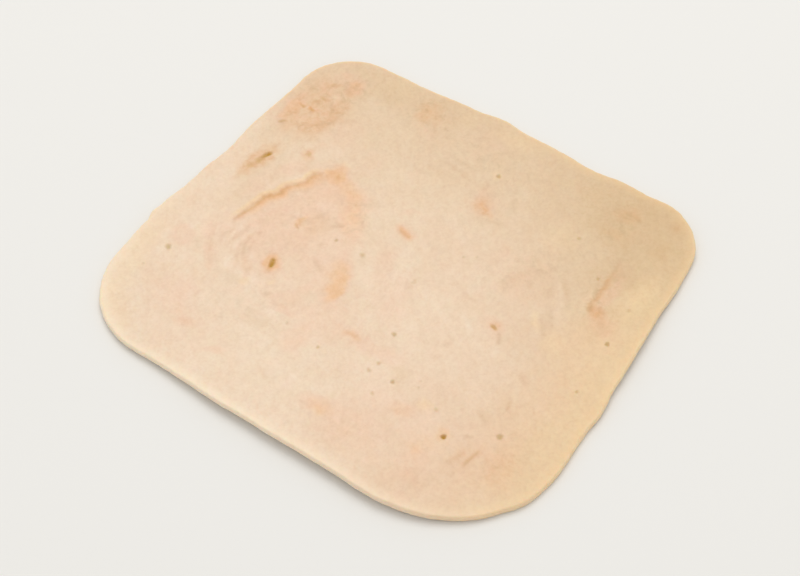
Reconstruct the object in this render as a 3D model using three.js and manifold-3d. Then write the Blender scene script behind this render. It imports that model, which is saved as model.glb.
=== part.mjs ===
// One thin, nearly square slice of cooked turkey breast with round corners, lying flat.
// Millimetres. +X runs across the slice, +Y along its longer side and +Z up.
// The origin is the middle of the slice's box, on the surface that it lies on.
import * as THREE from "three";
import { mergeVertices } from "three/addons/utils/BufferGeometryUtils.js";
import Module from "manifold-3d";

const wasm = await Module();
wasm.setup();

// Outline. Each corner is where its two side lines would meet, and cutBack is how far along each
// line the round of the corner begins.
const CORNERS = [
  { x: 45.7, y: 49.9, cutBack: 13.5 },
  { x: -45.6, y: 52.1, cutBack: 18.5 },
  { x: -48.6, y: -54.4, cutBack: 29.5 },
  { x: 47.0, y: -45.6, cutBack: 11.5 },
];
// How far the middle of each side stands out from its line, for the side after each corner.
const SIDE_BOWS = [0.55, 0.5, 0.35, 1.1];
// The share of the way to the corner point at which a cubic curve is nearly a circle's.
const ROUND_HANDLE = 0.5523;
// Where the real edge bulges or draws in by more than its fine waves.
const EDGE_BUMPS = [
  { x: -13, y: 52, reach: 7, rise: 0.5 },
  { x: -16.2, y: 52, reach: 2.6, rise: 0.5 },
  { x: 8, y: 51, reach: 9, rise: -0.4 },
  { x: -32.8, y: -50.4, reach: 5, rise: 0.35 },
  { x: -6, y: -51, reach: 6, rise: 0.35 },
  { x: 47, y: -34.5, reach: 6, rise: 0.45 },
  { x: 47.2, y: -16.5, reach: 8, rise: -0.8 },
  { x: 47.4, y: 6.5, reach: 7, rise: 0.8 },
];
// Fine waves of the edge, as whole waves round the slice.
const EDGE_WAVES = [
  { waves: 11, size: 0.1, phase: 0.4 },
  { waves: 19, size: 0.07, phase: 2.1 },
  { waves: 31, size: 0.04, phase: 4.4 },
];

// Body of the slice.
const THICKNESS = 1.5;
const THICKNESS_WAVES = [
  { length: 61, angle: 0.5, size: 0.05, phase: 0.6 },
  { length: 37, angle: 2.0, size: 0.04, phase: 2.7 },
];
const EDGE_ROUND = 0.4;

// Where the slice lifts off the surface. Each lift grows from start to start + run along its
// angle, on past it as far as the overrun, and fades at halfWidth to either side of its middle.
const LIFT_OVERRUN = 1.3;
const LIFTS = [
  { angle: 180, start: 27, run: 21, rise: 1.5, middle: 5, halfWidth: 66 },
  { angle: 47, start: 46, run: 17, rise: 0.8, middle: 0, halfWidth: 34 },
  { angle: -88, start: 33, run: 19, rise: 1.2, middle: 10, halfWidth: 27 },
  { angle: -42, start: 46, run: 16, rise: 0.5, middle: 2, halfWidth: 30 },
  { angle: 92, start: 38, run: 15, rise: 0.5, middle: 12, halfWidth: 24 },
];

// The seam between two muscles: an arc whose outer lip stands a little proud of a shallow groove.
const SEAM = [
  [-8.5, 37.1],
  [-3.5, 36.6],
  [0.6, 35.7],
  [3.2, 33.9],
  [5.8, 33.4],
  [8.7, 31.3],
  [11.5, 31.2],
  [12.9, 29.4],
];
const SEAM_GROOVE_WIDTH = 1.0;
const SEAM_GROOVE_DEPTH = 0.35;
const SEAM_STEPS = 26;
const SEAM_LIP = 0.16;
const SEAM_LIP_REACH = 3.2;

// Pits and slits in the upper face: middle, length, width, depth and turn from +X.
const PITS = [
  { x: -13.1, y: 23.8, length: 3.1, width: 1.35, depth: 0.85, turn: 20 },
  { x: 10.4, y: 43.0, length: 2.8, width: 0.95, depth: 0.75, turn: -14 },
  { x: 7.6, y: 43.6, length: 3.4, width: 1.2, depth: 0.3, turn: -10 },
  { x: -28.6, y: -29.2, length: 1.2, width: 1.0, depth: 0.7, turn: 20 },
  { x: -22.5, y: -38.0, length: 1.5, width: 1.2, depth: 0.4, turn: 10 },
  { x: 15.5, y: 35.7, length: 1.5, width: 1.1, depth: 0.35, turn: 60 },
  { x: -21.9, y: 43.9, length: 1.3, width: 1.0, depth: 0.5, turn: 35 },
  { x: 33.6, y: -1.0, length: 1.2, width: 0.9, depth: 0.45, turn: 45 },
  { x: -0.9, y: -22.7, length: 2.1, width: 0.75, depth: 0.45, turn: 70 },
  { x: -30.0, y: -36.3, length: 4.6, width: 0.6, depth: 0.3, turn: -6 },
  { x: 14.2, y: 26.7, length: 1.9, width: 0.6, depth: 0.35, turn: 20 },
  { x: -2.2, y: 25.5, length: 2.0, width: 0.6, depth: 0.3, turn: 60 },
  { x: 8.0, y: -43.3, length: 1.2, width: 0.8, depth: 0.4, turn: 25 },
  { x: -23.6, y: -13.8, length: 1.0, width: 0.8, depth: 0.4, turn: 30 },
  { x: -13.8, y: -7.3, length: 1.0, width: 0.8, depth: 0.4, turn: 50 },
];
const PIT_SIDES = 12;
const PIT_RINGS = 6;

// Rings of triangles from the middle to the edge, where ring k has k points in each sector.
const RINGS = 24;
const SECTORS = 6;
const EDGE_POINTS = SECTORS * RINGS;
const MERGE_DISTANCE = 1e-4;

const PINKISH_CREAM = 0xefd4b8;
const MEAT = new THREE.MeshStandardMaterial({
  color: PINKISH_CREAM,
  roughness: 0.5,
  metalness: 0,
});

const degrees = (a) => THREE.MathUtils.degToRad(a);
const fade = (t) => Math.cos((Math.PI / 2) * THREE.MathUtils.clamp(t, -1, 1)) ** 2;

// The plain outline: bowed sides joined by round corners, anticlockwise.
function plainOutline() {
  const points = CORNERS.map((c) => new THREE.Vector2(c.x, c.y));
  const along = (from, to, distance) => to.clone().sub(from).setLength(distance).add(from);
  const outline = new THREE.Path();
  CORNERS.forEach((corner, i) => {
    const here = points[i];
    const before = points.at(i - 1);
    const following = (i + 1) % CORNERS.length;
    const after = points[following];
    const begin = along(here, before, corner.cutBack);
    const end = along(here, after, corner.cutBack);
    const next = along(after, here, CORNERS[following].cutBack);
    const leave = begin.clone().lerp(here, ROUND_HANDLE);
    const arrive = end.clone().lerp(here, ROUND_HANDLE);
    const side = next.clone().sub(end).normalize();
    const bowed = end.clone().lerp(next, 0.5);
    bowed.add(new THREE.Vector2(side.y, -side.x).multiplyScalar(2 * SIDE_BOWS[i]));
    if (i === 0) outline.moveTo(begin.x, begin.y);
    outline.bezierCurveTo(leave.x, leave.y, arrive.x, arrive.y, end.x, end.y);
    outline.quadraticCurveTo(bowed.x, bowed.y, next.x, next.y);
  });
  return outline;
}

// How far the real edge stands out from the plain outline at the share u of the way round.
function edgeOffset(point, u) {
  const bumps = EDGE_BUMPS.map(
    (b) => b.rise * fade(Math.hypot(point.x - b.x, point.y - b.y) / b.reach),
  );
  const waves = EDGE_WAVES.map((w) => w.size * Math.sin(2 * Math.PI * w.waves * u + w.phase));
  return [...bumps, ...waves].reduce((sum, value) => sum + value, 0);
}

// The real edge as a function of the share u of the way round.
function edgeOfSlice() {
  const outline = plainOutline();
  return (u) => {
    const place = outline.getPoint(u);
    const way = outline.getTangent(u);
    const out = new THREE.Vector2(way.y, -way.x);
    return place.add(out.multiplyScalar(edgeOffset(place, u)));
  };
}

// How much the lip of the seam adds to the thickness: most at the middle of the seam, beside it
// on the outer side, and nothing on the inner side.
function seamLip(x, y) {
  const here = new THREE.Vector2(x, y);
  let nearest = Infinity;
  let lip = 0;
  for (let i = 0; i + 1 < SEAM.length; i++) {
    const from = new THREE.Vector2(...SEAM[i]);
    const way = new THREE.Vector2(...SEAM[i + 1]).sub(from);
    const share = THREE.MathUtils.clamp(here.clone().sub(from).dot(way) / way.lengthSq(), 0, 1);
    const foot = from.addScaledVector(way, share);
    const distance = foot.distanceTo(here);
    if (distance >= nearest) continue;
    nearest = distance;
    const outer = here.clone().sub(foot).cross(way) < 0;
    const taper = Math.sin((Math.PI * (i + share)) / (SEAM.length - 1));
    lip = outer ? SEAM_LIP * taper * fade(distance / SEAM_LIP_REACH) : 0;
  }
  return lip;
}

// Height of the underside over the surface that the slice lies on.
function lift(x, y) {
  return LIFTS.reduce((sum, l) => {
    const cos = Math.cos(degrees(l.angle));
    const sin = Math.sin(degrees(l.angle));
    const share = THREE.MathUtils.clamp((x * cos + y * sin - l.start) / l.run, 0, LIFT_OVERRUN);
    const across = (y * cos - x * sin - l.middle) / l.halfWidth;
    return sum + l.rise * share ** 2 * fade(across);
  }, 0);
}

function thickness(x, y) {
  const waves = THICKNESS_WAVES.reduce((sum, w) => {
    const along = x * Math.cos(w.angle) + y * Math.sin(w.angle);
    return sum + w.size * Math.sin((2 * Math.PI * along) / w.length + w.phase);
  }, 0);
  return THICKNESS + waves + seamLip(x, y);
}

// Two like faces of rings of triangles, joined by a rounded rim.
function plainSlice() {
  const edge = edgeOfSlice();
  const points = [];
  const triangles = [];
  const add = (p, z) => points.push(p.x, p.y, z) / 3 - 1;

  const face = (side) => {
    const height = (p) => lift(p.x, p.y) + side * thickness(p.x, p.y);
    const ring = (k) =>
      Array.from({ length: SECTORS * k }, (_, i) => {
        const u = i / (SECTORS * k);
        const p = edge(u);
        p.setLength(p.length() * (k / RINGS) - (k === RINGS ? EDGE_ROUND : 0));
        return add(p, height(p));
      });
    const turn = (a, b, c) => triangles.push(...(side ? [a, b, c] : [a, c, b]));
    const centre = new THREE.Vector2();
    let inner = [add(centre, height(centre))];
    for (let k = 1; k <= RINGS; k++) {
      const outer = ring(k);
      for (let s = 0; s < SECTORS; s++)
        for (let i = 0; i < k; i++) {
          const a = inner[(s * (k - 1) + i) % inner.length];
          const b = outer[s * k + i];
          const c = outer[(s * k + i + 1) % outer.length];
          turn(a, b, c);
          if (i < k - 1) turn(a, c, inner[(s * (k - 1) + i + 1) % inner.length]);
        }
      inner = outer;
    }
    return inner;
  };

  const rimRow = (side) =>
    Array.from({ length: EDGE_POINTS }, (_, i) => {
      const p = edge(i / EDGE_POINTS);
      const inset = EDGE_ROUND * (side ? -1 : 1);
      return add(p, lift(p.x, p.y) + side * thickness(p.x, p.y) + inset);
    });

  const band = (lower, upper) =>
    lower.forEach((a, i) => {
      const next = (i + 1) % lower.length;
      triangles.push(a, lower[next], upper[next], a, upper[next], upper[i]);
    });

  const underEdge = face(0);
  const upperEdge = face(1);
  const lowRim = rimRow(0);
  const highRim = rimRow(1);
  band(underEdge, lowRim);
  band(lowRim, highRim);
  band(highRim, upperEdge);

  const geometry = new THREE.BufferGeometry();
  geometry.setAttribute("position", new THREE.Float32BufferAttribute(points, 3));
  geometry.setIndex(triangles);
  return geometry;
}

const upperFace = (x, y) => lift(x, y) + thickness(x, y);

// A lens that cuts one pit or slit into the upper face.
function pitCutter(pit) {
  const lens = new THREE.SphereGeometry(1, PIT_SIDES, PIT_RINGS);
  lens.rotateX(Math.PI / 2);
  lens.scale(pit.length / 2, pit.width / 2, pit.depth);
  lens.rotateZ(degrees(pit.turn));
  lens.translate(pit.x, pit.y, upperFace(pit.x, pit.y));
  return lens;
}

// A thin diamond bar along the seam, whose lower half cuts the groove.
function seamCutter() {
  const route = new THREE.CatmullRomCurve3(
    SEAM.map(([x, y]) => new THREE.Vector3(x, y, upperFace(x, y))),
  );
  const section = new THREE.Shape([
    new THREE.Vector2(SEAM_GROOVE_DEPTH, 0),
    new THREE.Vector2(0, SEAM_GROOVE_WIDTH / 2),
    new THREE.Vector2(-SEAM_GROOVE_DEPTH, 0),
    new THREE.Vector2(0, -SEAM_GROOVE_WIDTH / 2),
  ]);
  return new THREE.ExtrudeGeometry(section, { steps: SEAM_STEPS, extrudePath: route });
}

function toSolid(geometry) {
  const bare = geometry.index ? geometry.toNonIndexed() : geometry.clone();
  bare.deleteAttribute("normal");
  bare.deleteAttribute("uv");
  const merged = mergeVertices(bare, MERGE_DISTANCE);
  return new wasm.Manifold(
    new wasm.Mesh({
      numProp: 3,
      vertProperties: merged.attributes.position.array,
      triVerts: new Uint32Array(merged.index.array),
    }),
  );
}

function toGeometry(solid) {
  const mesh = solid.getMesh();
  const geometry = new THREE.BufferGeometry();
  geometry.setAttribute("position", new THREE.BufferAttribute(mesh.vertProperties, 3));
  geometry.setIndex(new THREE.BufferAttribute(mesh.triVerts, 1));
  geometry.computeVertexNormals();
  return geometry;
}

// The slice with its seam and pits cut, set over the middle of its own box.
function turkeySlice() {
  const cutters = [...PITS.map(pitCutter), seamCutter()];
  const cut = (rest, cutter) => rest.subtract(toSolid(cutter));
  const geometry = toGeometry(cutters.reduce(cut, toSolid(plainSlice())));
  geometry.computeBoundingBox();
  const middle = geometry.boundingBox.getCenter(new THREE.Vector3());
  geometry.translate(-middle.x, -middle.y, 0);
  const slice = new THREE.Mesh(geometry, MEAT);
  slice.name = "turkey_slice";
  return slice;
}

const part = new THREE.Group();
part.add(turkeySlice());

export default part;
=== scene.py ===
# Looks of one thin slice of cooked turkey breast that lies flat: its fine mesh and its meat.
import math
from collections import namedtuple

import bpy
import numpy as np
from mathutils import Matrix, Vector


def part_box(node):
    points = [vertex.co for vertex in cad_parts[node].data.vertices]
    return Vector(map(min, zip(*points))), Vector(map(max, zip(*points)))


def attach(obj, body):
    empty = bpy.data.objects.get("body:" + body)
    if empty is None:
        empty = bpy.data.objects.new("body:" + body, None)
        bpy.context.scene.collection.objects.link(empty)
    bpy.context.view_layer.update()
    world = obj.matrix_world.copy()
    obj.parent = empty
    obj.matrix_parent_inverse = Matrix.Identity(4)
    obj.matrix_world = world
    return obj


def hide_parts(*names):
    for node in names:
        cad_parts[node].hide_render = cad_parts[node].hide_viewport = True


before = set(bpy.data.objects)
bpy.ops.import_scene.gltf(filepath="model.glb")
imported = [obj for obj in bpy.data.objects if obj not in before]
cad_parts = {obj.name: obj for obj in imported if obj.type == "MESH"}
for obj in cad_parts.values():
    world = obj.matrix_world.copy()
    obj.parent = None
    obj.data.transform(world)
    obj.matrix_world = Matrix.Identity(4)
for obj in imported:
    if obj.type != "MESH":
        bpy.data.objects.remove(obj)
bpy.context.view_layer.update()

MM = 0.001
NODE = "turkey_slice"

# The form, in millimetres, as the solid has it. The frame's box sets the slice's place.
# Corners anticlockwise from the upper right: x, y, and how far along each side line the round
# of the corner begins.
CORNERS = [
    (45.7, 49.9, 13.5),
    (-45.6, 52.1, 18.5),
    (-48.6, -54.4, 29.5),
    (47, -45.6, 11.5),
]
# How far each side bows out in its middle: upper, left, lower and right.
SIDE_BOWS = [0.55, 0.5, 0.35, 1.1]
# The reach of a corner's handles that rounds it off like a quarter of a circle.
ROUND_HANDLE = 0.5523
CURVE_STEPS = 400
TANGENT_STEP = 1e-4

# Where the edge bulges or draws in: x, y, reach and rise.
EDGE_BUMPS = [
    (-13, 52, 7, 0.5),
    (-16.2, 52, 2.6, 0.5),
    (8, 51, 9, -0.4),
    (-32.8, -50.4, 5, 0.35),
    (-6, -51, 6, 0.35),
    (47, -34.5, 6, 0.45),
    (47.2, -16.5, 8, -0.8),
    (47.4, 6.5, 7, 0.8),
]
# Waves and fine nicks round the whole edge: how many, size and phase.
EDGE_WAVES = [(11, 0.1, 0.4), (19, 0.07, 2.1), (31, 0.04, 4.4)]
EDGE_NICKS = [(67, 0.02, 1.3), (113, 0.015, 5.2), (181, 0.01, 0.2)]

THICKNESS = 1.5
# Its waves: length, angle in radians, size and phase.
THICKNESS_WAVES = [(61, 0.5, 0.05, 0.6), (37, 2.0, 0.04, 2.7)]
EDGE_ROUND = 0.4

# Where the slice lifts off: angle in degrees, start, run, rise, middle and half width.
LIFTS = [
    (180, 27, 21, 1.5, 5, 66),
    (47, 46, 17, 0.8, 0, 34),
    (-88, 33, 19, 1.2, 10, 27),
    (-42, 46, 16, 0.5, 2, 30),
    (92, 38, 15, 0.5, 12, 24),
]
# A lift goes on rising for this many of its runs.
LIFT_OVERRUN = 1.3

# The seam between two muscles: a proud outer lip beside a narrow groove.
SEAM = [
    (-9.2, 37), (-8, 37.2), (-6.2, 37), (-4, 36.5), (-1.8, 36.1), (0.4, 35.8), (1.4, 35.2),
    (2, 34.5), (3.2, 33.7), (4.3, 33.9), (5.2, 33.8), (6.3, 33.1), (7.4, 32.2), (8.7, 31.2),
    (10.2, 31.3), (11.6, 31.1), (12.6, 29.6), (13.2, 28.4),
]
# The groove's depth, and its reach on the lip's side and on the other.
SEAM_GROOVE_DEPTH = 0.09
SEAM_GROOVE_OUTER = 0.35
SEAM_GROOVE_INNER = 0.8
# The lip's height, its reach, and the width over which it rises out of the groove.
SEAM_LIP = 0.14
SEAM_LIP_REACH = 2.0
SEAM_LIP_RAMP = 0.7
# The shares of its way over which the seam sets in and dies away.
SEAM_ENDS = (0.13, 0.16)
# How deep and dark it is at some shares of its way.
SEAM_COURSE = [
    (0, 0.5), (0.16, 0.6), (0.3, 1), (0.52, 1), (0.6, 0.75), (0.75, 0.7), (0.9, 0.75), (1, 0.4),
]
# Its colours: strength and reach of the rusty line, its brown core, the pink below and the golden lip.
SEAM_RUST = (0.82, 0.8)
SEAM_BROWN = (0.12, 0.5)
SEAM_PINK = (0.85, 2.8)
SEAM_GOLD = (0.95, 1.0)

# Pits and slits in the upper face, how brown each one is, partly painted shade, and how much painted shade
# greys it.
Pit = namedtuple("Pit", "x y length width depth turn brown grey")
PIT_ROWS = [
    (-13, 23.7, 3.2, 1.5, 0.22, 22, 0.95, 0),
    (-13.6, 23.5, 1.4, 1.1, 0.15, 20, 1, 0),
    (-12.2, 24, 1.3, 1.1, 0.08, 60, 0.9, 0),
    (-13.1, 23.7, 3.8, 2.6, 0.06, 20, 0.06, 0),
    (10.2, 42.9, 3.6, 1.4, 0.2, -18, 0.8, 0),
    (10.8, 42.7, 2, 1.3, 0.15, -20, 1, 0),
    (8.3, 43.3, 2.8, 1.9, 0.08, -14, 0.5, 0),
    (6.2, 43.9, 3, 1.6, 0.05, -10, 0.22, 0),
    (-28.7, -29.4, 1.4, 1.3, 0.4, 20, 1, 0),
    (-22.5, -38.2, 1.7, 1.5, 0.2, 10, 0, 0.8),
    (15.6, 35.7, 1.8, 1.4, 0.12, 60, 0.12, 0.2),
    (-21.8, 43.8, 1.8, 1.5, 0.18, 35, 0, 0.66),
    (33.6, -1.1, 1.4, 1.2, 0.2, 45, 0, 0.75),
    (-0.9, -22.6, 2.2, 1, 0.18, 70, 0.5, 0.1),
    (-30, -36.4, 5, 0.8, 0.05, -8, 0.08, 0.05),
    (14, 26.7, 1.9, 0.8, 0.08, 20, 0.15, 0),
    (-2.2, 25.5, 2.2, 0.8, 0.1, 60, 0.2, 0.1),
    (8.1, -43.5, 1.4, 1.1, 0.22, 25, 0.15, 0.7),
    (-23.6, -13.9, 1.3, 1.1, 0.18, 30, 0, 0.7),
    (-13.8, -7.4, 1.5, 1.2, 0.16, 50, 0, 0.65),
    (-0.6, 16.5, 1.1, 0.9, 0.12, 0, 0, 0.55),
    (-25, 3.2, 1.1, 0.8, 0.12, 20, 0, 0.5),
    (-0.7, 9.8, 1.8, 1.4, 0.1, 60, 0, 0.55),
    (-23.9, -8.4, 1.4, 1.1, 0.1, 60, 0, 0.45),
    (-21.4, -9, 1.2, 1.1, 0.1, 10, 0.1, 0.4),
    (-28.1, -12.2, 1.3, 1, 0.08, 60, 0, 0.4),
    (-24.2, -24.6, 1.4, 1.1, 0.1, 50, 0, 0.38),
    (-5.1, -44.7, 1, 0.8, 0.12, 0, 0, 0.4),
    (28.6, -24.3, 1.2, 1, 0.12, 30, 0, 0.4),
    (21.6, -33.2, 1.1, 0.9, 0.15, 0, 0.1, 0.4),
    (17.9, -42.6, 1.3, 1.1, 0.1, 0, 0, 0.3),
    (-23.7, 11.8, 1, 0.9, 0.08, 0, 0, 0.3),
    (-28.2, 45.2, 0.9, 0.8, 0.08, 0, 0, 0.25),
    (-0.5, -3, 1.7, 1.3, 0.07, 0, 0, 0.3),
    (-21.8, -18.8, 0.9, 0.7, 0.06, 30, 0, 0.25),
    (-20.3, -18.3, 0.8, 0.7, 0.06, 0, 0, 0.25),
    (10.7, -7.5, 1, 0.8, 0.06, 0, 0, 0.25),
    (12.3, -9.8, 0.9, 0.8, 0.06, 0, 0, 0.25),
    (20.2, 46.3, 2, 1.1, 0.08, -35, 0.15, 0.3),
    (26.4, 45.2, 1.8, 0.8, 0.08, 85, 0.25, 0.05),
    (26.7, 43, 1.6, 0.7, 0.06, 80, 0.2, 0.05),
    (30.6, 42.7, 2.2, 0.8, 0.06, 75, 0.1, 0.15),
]
PITS = [Pit(*row) for row in PIT_ROWS]
# The power that softens a pit's sides, and the waves round its rim: how many, size and phase.
PIT_SOFTNESS = 1.5
PIT_RAGGED = [(3, 0.07, 0.7), (5, 0.04, 2.9)]
# A pit's colour is full out to this share of its radius, and fades over this further share.
PIT_CORE = 0.1
PIT_FADE = 1.2

# Thin bowed strokes of darker fibre: x, y, length, width, turn, bow and strength.
STROKES = [
    (-36, 8, 10, 0.9, 60, 1, 0.2),
    (4, -12, 12, 0.9, 70, 1.2, 0.2),
    (13.6, -20.6, 14, 1.8, -30, 1.6, 0.25),
    (24.6, 38.4, 12, 1.2, -24, -1.8, 0.18),
    (24, 34.2, 4.6, 3.4, 0, 0, 0.16),
    (36.2, 40.4, 7, 4.6, 90, 0, 0.14),
    (24.5, -39.6, 8, 2.4, 6, 0.1, 0.25),
    (24.8, -36.9, 6, 2.2, 4, 0.1, 0.25),
    (13, -27, 3.6, 2.2, 60, 0.1, 0.24),
    (-13.8, -17.4, 2.6, 1.6, 20, 0, 0.25),
    (-10, -17.2, 2.4, 1.4, 30, 0, 0.25),
    (19, -24.3, 2.2, 1.6, 0, 0, 0.35),
    (28.6, -8.4, 6, 1.2, 30, 0.3, 0.25),
    (22.4, -8, 6, 0.8, 100, 0.3, 0.35),
    (39.8, -29.5, 6, 4.4, 90, 0, 0.16),
    (34.8, -39.8, 5.4, 3, 0, 0, 0.16),
    (42.9, -39.6, 4, 3, 0, 0, 0.14),
    (11.2, -40.6, 5.6, 3.6, 50, 0, 0.14),
    (20.5, -37.3, 6, 2.6, 0, 0, 0.1),
]
# The same of paler fibre.
PALE_STROKES = [
    (-3.4, 26.6, 2.6, 1, 60, 0.2, 0.5),
    (-2.6, -17.6, 9, 0.9, 60, 0.5, 0.45),
    (-3.8, -18.4, 7, 0.8, 40, 0.3, 0.45),
    (-6.4, -26.6, 2.8, 1.4, 20, 0.1, 0.45),
    (-35.2, -42.6, 6.6, 1.1, 32, 0.2, 0.4),
    (28.4, 40.1, 2.4, 1.4, 20, 0.2, 0.6),
    (32.6, 40.4, 3, 1.6, 20, 0.3, 0.6),
    (33, 42.4, 3, 2, 60, 0.1, 0.3),
    (-34, -2, 10, 0.9, -50, 0.5, 0.25),
    (14, -6, 14, 0.9, 50, 0.8, 0.2),
    (17.5, -0.4, 7, 1.6, 20, 0.2, 0.3),
    (-34, 2.6, 4, 1, -20, 0.3, 0.35),
]

# Thin lines of darker fibre: width, strength and route.
LINES = [
    (0.8, 0.4, [(-10, 37), (-7.8, 37.15), (-5.6, 36.85), (-3.4, 36.4)]),
    (0.8, 0.46, [
        (-16.2, 27.2), (-15.4, 29.3), (-14, 30.5), (-12.2, 31.2), (-10.8, 31.5), (-9.3, 31.6), (-7.7, 31),
    ]),
    (0.7, 0.22, [(-14.6, 28.6), (-13.2, 29.8), (-11.4, 30.2), (-9.6, 30.4)]),
    (0.7, 0.2, [(-16.8, 29.6), (-15, 31.2), (-12.8, 32), (-10.6, 32.2)]),
    (0.9, 0.34, [(-14.8, 35.8), (-13.4, 36.7), (-12.2, 36.6), (-11, 36), (-8.6, 35.9)]),
    (1, 0.28, [(-15, 33.7), (-12.4, 34.4), (-9, 33.6), (-5.8, 33.8)]),
    (1.6, 0.22, [(-21.2, 33.6), (-18.8, 35.2), (-17, 36.8), (-14.4, 38.4), (-10.8, 39.7)]),
    (1.4, 0.16, [(-19.8, 38.2), (-17.6, 39.6), (-15.2, 41.6)]),
    (0.8, 0.3, [(-18, 28.6), (-16.4, 30.2), (-14.8, 31.5)]),
    (0.7, 0.3, [(-9.6, 30), (-8.2, 30.8), (-7.2, 29.9)]),
    (0.9, 0.25, [(-19, 26), (-17.2, 26.9), (-15.6, 26.2)]),
    (2, 0.18, [(-20, 31.4), (-20.9, 27.6), (-20.2, 23.8)]),
    (1.1, 0.42, [(-7.1, 17.6), (-8.2, 15.6), (-9.4, 13.6)]),
    (0.8, 0.35, [(-4.2, 18.9), (-3.2, 18.4), (-2.4, 17.4)]),
    (0.9, 0.35, [(-20.8, 21.2), (-20, 19.8), (-19.4, 18.6)]),
    (0.9, 0.5, [(1.6, 19.9), (2.6, 18.8), (3.6, 17.2)]),
    (1, 0.55, [(19, 47), (20.2, 46.2), (21.3, 45.2)]),
    (1.1, 0.2, [(28.2, 44.6), (28.9, 43.2), (30.6, 42.6), (31, 41.2), (29.4, 40.5)]),
    (1.1, 0.18, [(26.6, 39.8), (28.6, 38.9), (31, 38.9), (33.4, 39.5)]),
    (1.9, 0.16, [(24.6, 40.2), (24.8, 38.3), (25.8, 37.3), (28.4, 37.2), (31.6, 37.2), (34.2, 38.2)]),
    (1.4, 0.2, [(34.2, 38.2), (36, 39.8), (36.4, 43.4)]),
    (1.2, 0.2, [(33.2, 44.2), (34.8, 43.4), (36, 41.8)]),
    (1.2, 0.22, [(21.4, 42.6), (22.4, 40.6), (24.4, 39.3)]),
    (0.9, 0.22, [(26.8, 41.6), (26.2, 40.2)]),
    (1.1, 0.28, [(27, 35.4), (28.6, 34.4), (29.8, 32.8)]),
    (1.4, 0.16, [(28.4, 14.6), (27.6, 10.6), (27.2, 6)]),
    (1.4, 0.2, [(30.4, 12.6), (30.2, 7), (29, 1.4)]),
    (1.2, 0.16, [(33.2, 13), (32.4, 8), (31.9, 2.4)]),
    (1.2, 0.2, [(25.6, 16.4), (25.2, 11)]),
    (1, 0.35, [(27.6, -0.6), (30, -0.7), (31.6, 0.4)]),
    (1, 0.36, [
        (11.6, -37.4), (13.2, -36.1), (15.4, -35.3), (18.4, -35.5), (21.4, -35.2), (24.6, -35),
        (30, -34.8),
    ]),
    (1, 0.14, [(29, -35), (31.4, -34), (33.6, -32.6)]),
    (1, 0.24, [(23, -34.9), (26, -34.6), (29.4, -34.6)]),
    (1.6, 0.26, [(4.4, -33.2), (7, -31), (9.6, -29.2), (12.6, -26.6)]),
    (1.5, 0.22, [(9.6, -33.4), (13, -30.8), (16.4, -28.6), (19, -25.6)]),
    (1.3, 0.24, [(2, -33), (4.6, -30.6), (7.4, -28.8)]),
    (1.1, 0.3, [(-34.4, -32.8), (-32, -33.8), (-29, -34.5)]),
    (1, 0.4, [(-32.8, -36.1), (-29.8, -36.6), (-26.4, -37)]),
    (0.8, 0.3, [(-36, -35.6), (-34, -35.8)]),
    (0.8, 0.4, [(-26.6, -32.2), (-25.4, -34.3)]),
    (1.2, 0.34, [(-7.2, -33), (-8.7, -34.7), (-9.8, -36.2)]),
    (0.8, 0.45, [(-17.2, -35.9), (-15.6, -35.6), (-13.4, -35)]),
    (1.6, 0.3, [(-18.8, -31.2), (-20.4, -33), (-21.8, -34.8)]),
    (1, 0.5, [(-1.2, -23.6), (-2.6, -25), (-4.4, -26)]),
    (1.4, 0.15, [(-28.6, 20), (-27, 17), (-27.2, 14.2)]),
    (0.8, 0.32, [(8.5, 4.2), (9, 5.8), (9.6, 7.8)]),
    (1.1, 0.3, [(-18.6, 1.8), (-18.5, -0.6), (-18.2, -2.8)]),
]
# The same of paler fibre.
PALE_LINES = [
    (1.5, 0.5, [(-19.4, 29), (-18.2, 31.6), (-15.6, 32.2)]),
    (1.2, 0.45, [(-19.2, 27.2), (-17.2, 29.2)]),
    (1.3, 0.5, [(-19.6, 25), (-17.6, 23.4)]),
    (0.9, 0.45, [(-15.4, 32.2), (-12.4, 32.9), (-9, 32.6)]),
    (0.9, 0.45, [(-14.6, 35.1), (-11, 35), (-7.2, 34.6)]),
    (1.2, 0.35, [(-14.8, 27.8), (-12.4, 28.8)]),
    (1.1, 0.4, [(-17.6, 37.8), (-15, 39.6), (-12, 40.6)]),
    (1.2, 0.2, [(31.8, 14.6), (31.2, 9), (30.9, 4)]),
    (1.2, 0.2, [(34.2, 12), (33.4, 4)]),
    (1.4, 0.36, [(10, -32.4), (13.4, -29.6), (17.6, -26)]),
    (1.2, 0.34, [(5.8, -33.6), (9, -31.2), (12.4, -28.6)]),
    (1.2, 0.34, [(1.2, -31.4), (4, -29.4), (6.6, -27.8)]),
    (0.9, 0.35, [(30.6, -10), (32.8, -8.2), (35, -6.6)]),
    (1.1, 0.4, [(11.2, -36), (13.6, -34.4), (19, -33.9)]),
]
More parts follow.
